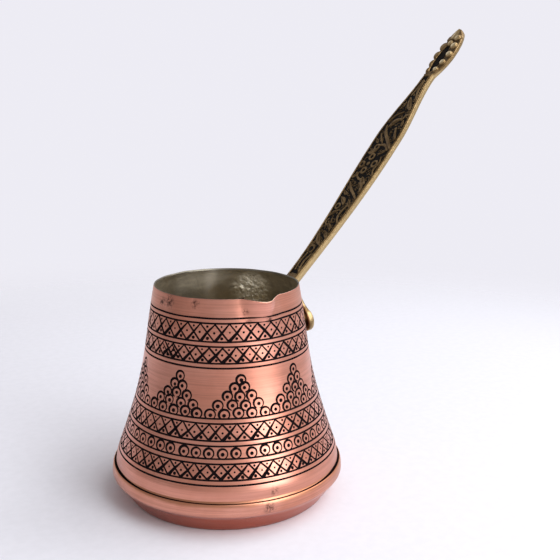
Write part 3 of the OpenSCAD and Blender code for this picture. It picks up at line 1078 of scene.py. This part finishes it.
def build_bend():
    """Short swept neck that carries the bar down into the crown of the plate."""
    steps = 26
    around = 28
    _, lean = plate_frame()
    along = np.array([math.cos(BAR_TURN), math.sin(BAR_TURN)])
    under = np.array([along[1], -along[0]])
    start = np.array(BAR_FOOT) + 2.2 * along + 0.15 * under
    crown = on_plate(np.array(1.0), np.array(0.0), np.array(8.6))
    end = np.array([crown[0], crown[2]])
    down = np.array([math.sin(lean), -math.cos(lean)])
    rows = []
    for k in range(steps):
        t = k / (steps - 1)
        p0, p1, p2, p3 = start, start - along * 4.0, end - down * 4.5, end
        place = (1 - t) ** 3 * p0 + 3 * t * (1 - t) ** 2 * p1 + 3 * t * t * (1 - t) * p2 + t ** 3 * p3
        go = 3 * (1 - t) ** 2 * (p1 - p0) + 6 * t * (1 - t) * (p2 - p1) + 3 * t * t * (p3 - p2)
        go /= np.linalg.norm(go)
        out = np.array([-go[1], go[0]])
        half_w = mix(FOOT_W / 2 - 0.1, CROWN_R - 0.5, math.sqrt(t))
        half_t = mix(1.4, 0.9, math.sqrt(t))
        for j in range(around):
            turn = TAU * j / around
            y = half_w * signed_power(math.cos(turn), 0.5)
            off = half_t * signed_power(math.sin(turn), 0.6)
            rows.append((place[0] + out[0] * off, y, place[1] + out[1] * off))
    return np.array(rows), capped_grid(steps, around)


def build_handle(face, materials):
    points, faces, tone = build_bar(face)
    for more_points, more_faces in (build_bend(), build_plate()):
        start = len(points)
        points = np.vstack([points, more_points])
        faces += [tuple(k + start for k in corners) for corners in more_faces]
        worn = 0.16 + 0.25 * cloud(more_points, 3.0, 6)
        tone = np.concatenate([tone, worn])
    piece = new_piece("handle_cast", points, faces, materials)
    record = piece.data.attributes.new("relief", "FLOAT", "POINT")
    record.data.foreach_set("value", tone.astype(np.float32))
    return piece


# ---------------------------------------------------------------- rivets
RIVET_DOME = 1.3
SHANK_R = 1.5


def build_rivet(node, name, seed, materials):
    """A hand-peened rivet: two domed heads with small hammer flats and the shank between them."""
    low, high = node_box(node)
    across = (low.y + high.y) / 2
    head_r = (high.y - low.y) / 2
    _, lean = plate_frame()
    up = ((low.z + high.z) / 2 - LOBE_Z) / math.cos(lean)
    reach_out = float(plate_thick(up)) + 0.2
    length = (high.x - low.x - 2 * head_r * math.sin(lean)) / math.cos(lean)
    back = CAD_PLATE_T + RIVET_DOME - length
    line = []
    for k in range(9):
        a = math.pi / 2 * k / 8
        crown = RIVET_DOME * math.cos(a) ** 0.8 if k < 8 else 0
        line.append((head_r * math.sin(a), reach_out + crown))
    line += [(head_r * 0.97, reach_out - 0.12), (SHANK_R, reach_out - 0.3), (SHANK_R, back + RIVET_DOME)]
    for k in range(9):
        a = math.pi / 2 * (1 - k / 8)
        line.append((head_r * math.sin(a), back + RIVET_DOME * (1 - math.cos(a))))
    steps = 40
    draw = random.Random(seed)
    flats = []
    for _ in range(7):
        flats.append((draw.uniform(0, TAU), draw.uniform(0.2, 0.8) * head_r, draw.uniform(0.05, 0.14)))
    points = []
    for radius, out in line:
        for j in range(steps):
            y, rise = polar(radius, TAU * j / steps)
            push = 0.0
            for turn, place, depth in flats:
                gap = math.hypot(y - place * math.cos(turn), rise - place * math.sin(turn))
                push += depth * math.exp(-(gap / 0.8) ** 2)
            lift = -push if out > reach_out else 0.0
            points.append(on_plate(np.array(out + lift), np.array(across + y), np.array(up + rise)))
    faces = grid_faces(len(line), steps)
    return new_piece(name, np.array(points), faces, materials)


# ---------------------------------------------------------------- materials
class NodeTree:
    """The nodes of a material or world, emptied to begin with."""

    def __init__(self, owner):
        owner.use_nodes = True
        self.tree = owner.node_tree
        self.tree.nodes.clear()

    def fill(self, node, sockets):
        """Gives each of the node's sockets its value, or the link that feeds it."""
        for socket, value in sockets.items():
            if isinstance(value, bpy.types.NodeSocket):
                self.tree.links.new(value, node.inputs[socket])
            else:
                node.inputs[socket].default_value = value

    def add(self, kind, sockets=None, **settings):
        node = self.tree.nodes.new("ShaderNode" + kind)
        for name, value in settings.items():
            setattr(node, name, value)
        self.fill(node, sockets or {})
        return node


class Surface(NodeTree):
    """Short ways to write a procedural material."""

    def __init__(self, name, **values):
        self.material = bpy.data.materials.new(name)
        super().__init__(self.material)
        self.shader = self.add("BsdfPrincipled", {k.replace("_", " "): v for k, v in values.items()})
        self.add("OutputMaterial", {"Surface": self.shader.outputs["BSDF"]})
        self.place = self.add("TexCoord").outputs["Object"]

    def stretched(self, x, y, z):
        return self.add("Mapping", {"Vector": self.place, "Scale": (x, y, z)}).outputs["Vector"]

    def noise(self, scale, detail=4.0, rough=0.55, vector=None, distortion=0.0):
        sockets = {"Vector": vector or self.place, "Scale": scale, "Detail": detail}
        sockets |= {"Roughness": rough, "Distortion": distortion}
        return self.add("TexNoise", sockets).outputs["Fac"]

    def cells(self, scale, feature="F1"):
        cells = self.add("TexVoronoi", {"Vector": self.place, "Scale": scale}, feature=feature)
        return cells.outputs["Distance"]

    def ramp(self, value, low, high, out_low=0.0, out_high=1.0):
        sockets = {"Value": value, "From Min": low, "From Max": high, "To Min": out_low, "To Max": out_high}
        return self.add("MapRange", sockets, interpolation_type="SMOOTHSTEP").outputs["Result"]

    def math(self, kind, a, b):
        return self.add("Math", {0: a, 1: b}, operation=kind).outputs["Value"]

    def blend(self, share, a, b):
        first, second = ((*c, 1.0) if isinstance(c, tuple) else c for c in (a, b))
        return self.add("Mix", {"Factor": share, 6: first, 7: second}, data_type="RGBA").outputs[2]

    def near(self, point, inner, outer, squash=1.0):
        """One within inner millimetres of a point, nothing from outer on. A small squash makes it tall."""
        x, y, z = (float(c) * MM for c in point)
        sockets = {0: self.stretched(1.0, 1.0, squash), 1: (x, y, z * squash)}
        distance = self.add("VectorMath", sockets, operation="DISTANCE").outputs["Value"]
        return self.ramp(distance, outer * MM, inner * MM)

    def height(self):
        return self.add("SeparateXYZ", {"Vector": self.place}).outputs["Z"]

    def finish(self, colour, rough, *bumps):
        """Wires the surface up. A bump is a height, its strength and its depth in millimetres."""
        self.fill(self.shader, {"Base Color": colour, "Roughness": rough})
        for height, strength, depth in bumps:
            below = [link.from_socket for link in self.shader.inputs["Normal"].links]
            bump = self.add("Bump", {"Height": height, "Strength": strength, "Distance": depth * MM})
            if below:
                self.fill(bump, {"Normal": below[0]})
            self.fill(self.shader, {"Normal": bump.outputs["Normal"]})
        return self.material


def darker(colour, share):
    return tuple(c * share for c in colour)


HEAT_BROWN = (0.42, 0.16, 0.09)
OXIDE_BROWN = (0.075, 0.028, 0.018)


def copper(name, warm, deep, rough, stains, heat_and_shade_bands):
    """Satin copper brushed round the pot, with stains of brown oxide, bands coloured by heat and bands of
    painted shade.
    """
    m = Surface(name, Metallic=1.0, Anisotropic=0.5, Coat_Weight=0.24, Coat_Roughness=0.3)
    m.fill(m.shader, {"Tangent": m.add("Tangent", direction_type="RADIAL", axis="Z").outputs["Tangent"]})
    streaks = m.noise(1.0, 5, 0.6, m.stretched(60, 60, 5200))
    brush = m.noise(1.0, 4, 0.7, m.stretched(24, 24, 1500))
    scratches = m.noise(1.0, 3, 0.7, m.stretched(220, 220, 14000))
    broad = m.noise(38.0, 4, 0.6)
    patches = m.noise(110.0, 5, 0.65, distortion=0.6)
    colour = m.blend(m.ramp(broad, 0.35, 0.68), warm, deep)
    colour = m.blend(m.ramp(brush, 0.42, 0.66, 0.0, 0.5), colour, darker(deep, 0.66))
    colour = m.blend(m.ramp(streaks, 0.3, 0.75, 0.0, 0.35), colour, darker(deep, 0.72))
    colour = m.blend(m.ramp(patches, 0.6, 0.78, 0.0, 0.35), colour, HEAT_BROWN)
    for point, inner, outer in stains:
        speckle = m.ramp(m.noise(900.0, 4, 0.7), 0.4, 0.62)
        colour = m.blend(m.math("MULTIPLY", m.near(point, inner, outer), speckle), colour, OXIDE_BROWN)
    # The bands hold both heat colour and painted shade; build_pot says which is which.
    for start, end, share, band_colour in heat_and_shade_bands:
        uneven = m.math("MULTIPLY", m.math("SUBTRACT", broad, 0.5), 4 * MM)
        level = m.math("ADD", m.height(), uneven)
        colour = m.blend(m.ramp(level, start * MM, end * MM, 0.0, share), colour, band_colour)
    sheen = m.math("ADD", m.math("MULTIPLY", streaks, 0.5), m.math("MULTIPLY", broad, 0.5))
    return m.finish(colour, m.ramp(sheen, 0.3, 0.7, rough - 0.05, rough + 0.07), (brush, 0.35, 0.05),
                    (streaks, 0.4, 0.035), (scratches, 0.3, 0.014), (m.noise(420.0, 3), 0.28, 0.06))


def patina():
    """Black oxide in the cuts."""
    m = Surface("cut_patina", Metallic=0.0, Specular_IOR_Level=0.04)
    spots = m.noise(1400.0, 4, 0.6)
    colour = m.blend(m.ramp(spots, 0.35, 0.8), (0.0025, 0.002, 0.0035), (0.016, 0.008, 0.007))
    return m.finish(colour, m.ramp(spots, 0.3, 0.7, 0.7, 0.9), (spots, 0.3, 0.03))


def on_inside(turn, z):
    """A point on the inside of the neck, at a turn in degrees."""
    return (*polar(26, math.radians(turn)), z)


def tinned():
    """Hand-wiped tin: olive grey and cloudy, with painted shade over the top of the rim, one streak of
    painted reflection and a crackled patch brightened by painted highlight.
    """
    m = Surface("wiped_tin", Metallic=1.0)
    wipe = m.noise(1.0, 5, 0.6, m.stretched(160, 160, 900))
    cloudy = m.noise(85.0, 6, 0.65, distortion=0.8)
    colour = m.blend(m.ramp(cloudy, 0.36, 0.64), (0.4, 0.345, 0.26), (0.66, 0.58, 0.44))
    colour = m.blend(m.ramp(wipe, 0.45, 0.7, 0.0, 0.5), colour, (0.74, 0.66, 0.5))
    # Painted reflection: a tall bright streak of window light on the inside wall.
    painted_reflection_streak = m.near(on_inside(76, 74.0), 0.5, 4.2, squash=0.15)
    colour = m.blend(m.math("MULTIPLY", painted_reflection_streak, 0.8), colour, (1.0, 0.91, 0.76))
    # Painted shade: the tin darkens over the top of the rim to dim its highlight.
    painted_rim_shade = m.ramp(m.height(), (RIM_Z - 1.0) * MM, EDGE_Z * MM, 0.0, 0.85)
    colour = m.blend(painted_rim_shade, colour, (0.13, 0.12, 0.1))
    patch = m.near(on_inside(PATCH_TURN, PATCH_Z), 3.5, 11.0)
    # Painted highlight: bright crackle lines over the crumpled patch, standing in for the light its lumps
    # catch.
    painted_crackle_highlight = m.ramp(m.cells(520.0, "DISTANCE_TO_EDGE"), 0.02, 0.3, 1.0, 0.45)
    colour = m.blend(m.math("MULTIPLY", patch, painted_crackle_highlight), colour, (1.0, 0.92, 0.74))
    lumps = m.math("MULTIPLY", patch, m.noise(330.0, 5, 0.7))
    return m.finish(colour, m.ramp(cloudy, 0.3, 0.7, 0.5, 0.34), (wipe, 0.35, 0.06), (cloudy, 0.35, 0.2),
                    (m.noise(700.0, 4, 0.7), 0.3, 0.06), (lumps, 0.9, 1.1))


def antique_brass():
    """Sand-cast brass, dark in the hollows and rubbed bright on what stands out."""
    m = Surface("antique_brass", Metallic=1.0)
    grain = m.noise(1500.0, 5, 0.7)
    broad = m.noise(140.0, 4, 0.6)
    relief = m.add("Attribute", attribute_name="relief").outputs["Fac"]
    colour = m.blend(m.ramp(broad, 0.35, 0.65), (0.17, 0.105, 0.045), (0.3, 0.2, 0.095))
    colour = m.blend(m.ramp(grain, 0.48, 0.68, 0.0, 0.75), colour, (0.07, 0.045, 0.02))
    colour = m.blend(m.ramp(relief, -0.45, -0.12, 1.0, 0.0), colour, (0.012, 0.009, 0.007))
    colour = m.blend(m.ramp(relief, 0.05, 0.25, 0.0, 0.75), colour, (0.56, 0.42, 0.22))
    colour = m.blend(m.ramp(relief, 0.4, 0.8, 0.0, 0.9), colour, (0.97, 0.83, 0.55))
    bumps = ((grain, 0.9, 0.12), (m.noise(520.0, 4, 0.6), 0.6, 0.2))
    return m.finish(colour, m.ramp(relief, 0.2, 0.8, 0.42, 0.16), *bumps)


def black_enamel():
    m = Surface("black_enamel", Metallic=0.0, Specular_IOR_Level=0.05)
    spots = m.noise(900.0, 5, 0.65)
    colour = m.blend(m.ramp(spots, 0.45, 0.75), (0.004, 0.004, 0.005), (0.03, 0.02, 0.012))
    return m.finish(colour, m.ramp(spots, 0.3, 0.7, 0.35, 0.8), (spots, 0.6, 0.12))


def rivet_metal():
    m = Surface("peened_brass", Metallic=1.0)
    grain = m.noise(1100.0, 4, 0.6)
    colour = m.blend(m.ramp(grain, 0.4, 0.7), (0.5, 0.36, 0.16), (0.24, 0.15, 0.06))
    rough = m.ramp(grain, 0.3, 0.7, 0.28, 0.45)
    return m.finish(colour, rough, (grain, 0.4, 0.06), (m.cells(700.0), 0.3, 0.1))


def solder_metal():
    m = Surface("grey_solder", Metallic=1.0)
    grain = m.noise(800.0, 4, 0.6)
    colour = m.blend(m.ramp(grain, 0.35, 0.7), (0.3, 0.29, 0.27), (0.14, 0.13, 0.12))
    return m.finish(colour, m.ramp(grain, 0.3, 0.7, 0.4, 0.6), (grain, 0.4, 0.05))


# ---------------------------------------------------------------- camera, floor and light
CAMERA_TURN = -118.0
CAMERA_OUT = 309.9
CAMERA_UP = 150.2
CAMERA_DIP = 12.25
CAMERA_AIM = 58.26
CAMERA_ROLL = 0.47
BACKDROP = (0.85, 0.84, 0.905)


def add_camera():
    lens = bpy.data.cameras.new("camera")
    lens.lens = 53.53
    lens.sensor_width = 36.0
    lens.clip_start = 0.01
    camera = bpy.data.objects.new("camera", lens)
    camera.location = Vector((*polar(CAMERA_OUT, math.radians(CAMERA_TURN)), CAMERA_UP)) * MM
    look = Euler((math.radians(90 - CAMERA_DIP), 0, math.radians(CAMERA_AIM - 90))).to_matrix()
    camera.rotation_euler = (look @ Matrix.Rotation(math.radians(CAMERA_ROLL), 3, "Z")).to_euler()
    bpy.context.scene.collection.objects.link(camera)
    bpy.context.scene.camera = camera


def area_light(name, turn, lift, distance, size, power, colour):
    """A soft box aimed at the pot, that many degrees to the right of the camera and above the floor."""
    data = bpy.data.lights.new(name, "AREA")
    data.shape = "RECTANGLE"
    data.size, data.size_y = size
    data.energy = power
    data.color = colour
    light = bpy.data.objects.new(name, data)
    e = math.radians(lift)
    aim = Vector((0, 0, 0.05))
    away = Vector((*polar(math.cos(e), math.radians(CAMERA_TURN + turn)), math.sin(e)))
    light.location = aim + distance * away
    light.rotation_euler = (light.location - aim).to_track_quat("Z", "Y").to_euler()
    bpy.context.scene.collection.objects.link(light)


def add_floor():
    """Pale round floor that fades into the backdrop's colour."""
    rings = 24
    steps = 96
    reach = 1400.0
    points = [(0.0, 0.0, 0.0)]
    for k in range(1, rings + 1):
        points += [(*polar(reach * (k / rings) ** 2, TAU * j / steps), 0.0) for j in range(steps)]
    faces = [(0, 1 + j, 1 + (j + 1) % steps) for j in range(steps)]
    faces += grid_faces(rings, steps, flip=True, start=1)
    m = Surface("pale_paper", Specular_IOR_Level=0.2)
    m.fill(m.shader, {"Alpha": m.ramp(m.near((0, 0, 0), 170, 540), 0.0, 1.0)})
    fibre = m.noise(260.0, 4)
    colour = m.blend(m.ramp(fibre, 0.3, 0.7), (0.775, 0.78, 0.848), (0.8, 0.804, 0.874))
    floor = new_piece("floor", points, faces, [m.finish(colour, 0.85, (fibre, 0.05, 0.1))])


# Brightness of the room round the pot, by the degrees to the right of the camera
ROOM_LEVELS = ((47, 1.0), (80, 0.6), (110, 1.0), (180, 1.0), (240, 0.72), (272, 0.38), (300, 0.6),
               (335, 0.64))


def add_world():
    """Plain pale surround: the camera sees the backdrop, and the pot is lit by a dimmer, uneven room."""
    world = bpy.data.worlds.new("studio")
    bpy.context.scene.world = world
    w = NodeTree(world)
    parts = w.add("SeparateXYZ", {"Vector": w.add("TexCoord").outputs["Generated"]}).outputs
    height = {"Value": parts["Z"], "From Min": -0.1, "From Max": 0.9, "To Min": 0.78, "To Max": 0.6}
    turn = w.add("Math", {0: parts["Y"], 1: parts["X"]}, operation="ARCTAN2").outputs["Value"]
    share = w.add("Math", {0: turn, 1: 1 / TAU, 2: -CAMERA_TURN / 360}, operation="MULTIPLY_ADD")
    cycle = w.add("Math", {0: share.outputs["Value"]}, operation="FRACT")
    ramp = w.add("ValToRGB", {"Fac": cycle.outputs["Value"]})
    stops = ramp.color_ramp.elements
    for stop in stops:
        stop.color = (0.8, 0.765, 0.755, 1)
    for turned_by, level in ROOM_LEVELS:
        stops.new(turned_by / 360).color = (level, level * 0.955, level * 0.94, 1)
    strength = w.add("MapRange", height).outputs["Result"]
    room = w.add("Background", {"Color": ramp.outputs["Color"], "Strength": strength})
    seen = w.add("Background", {"Color": (*BACKDROP, 1)})
    direct = w.add("LightPath").outputs["Is Camera Ray"]
    join = w.add("MixShader", {"Fac": direct, 1: room.outputs["Background"], 2: seen.outputs["Background"]})
    w.add("OutputWorld", {"Surface": join.outputs["Shader"]})


def add_studio():
    add_camera()
    add_world()
    add_floor()
    area_light("key_window", 48, 31, 1.2, (0.7, 1.5), 13.4, (0.965, 0.985, 1.0))
    area_light("side_window", 105, 48, 1.35, (1.05, 1.05), 10.0, (0.975, 0.985, 1.0))
    bpy.context.scene.view_settings.view_transform = "Standard"


# ---------------------------------------------------------------- the pot
# Brown stains, each with its angle, height, dark core and reach
STAINS = ((-96, 15.6, 0.2, 2.6), (-165, 79.3, 0.5, 3.4), (-174, 78.3, 0.5, 2.8), (-141.5, 79.8, 0.3, 2.3),
          (-105, 77.4, 0.2, 1.8), (-88, 73.9, 0.3, 1.9), (-103, 73.7, 0.2, 1.7), (30, 79.0, 0.5, 4.0),
          (150, 79.0, 0.5, 3.6), (85, 78.5, 0.5, 3.2))
PIT_R = 44.8
PIT_TURN = math.radians(-99)
PIT_Z = 10.4


def build_pot():
    stains = [(wall_point(angle, height), inner, outer) for angle, height, inner, outer in STAINS]
    # Painted shade: the upper body's copper darkens from 25 mm down to 14 mm, towards the seam.
    painted_shade_band = ((25, 14, 0.35, (0.58, 0.235, 0.15)),)
    body_copper = copper("brushed_copper", (0.81, 0.375, 0.29), (0.69, 0.285, 0.2), 0.32, stains, painted_shade_band)
    pits = [((*polar(PIT_R, PIT_TURN), PIT_Z), 0.4, 3.2)]
    # The first band is painted shade: the downward-facing underside darkened as if it reflected the
    # shadowed floor. The second is heat colour below the seam.
    heat_and_shade_bands = ((7.6, 5.8, 0.95, (0.46, 0.1, 0.045)), (10.6, 13.4, 0.6, (0.6, 0.25, 0.11)))
    pan_copper = copper("pan_copper", (0.76, 0.345, 0.25), (0.63, 0.25, 0.165), 0.31, pits, heat_and_shade_bands)
    black = patina()
    stand_in(build_upper_body([body_copper, black]), "upper_body")
    stand_in(build_base_pan([pan_copper, black]), "base_pan")
    stand_in(build_tin([tinned()]), "tin_lining")
    face = face_grid(scroll_relief())
    stand_in(build_handle(face, [antique_brass()]), "handle")
    stand_in(build_enamel(face, [black_enamel()]), "enamel_fill")
    brass = rivet_metal()
    for number, side in enumerate(("left", "right", "top")):
        rivet = build_rivet(f"rivet_{side}", f"rivet_{side}_peened", number + 1, [brass])
        stand_in(rivet, f"rivet_{side}")
    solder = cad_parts["seam_solder"]
    solder.data.materials.clear()
    solder.data.materials.append(solder_metal())


add_studio()
build_pot()
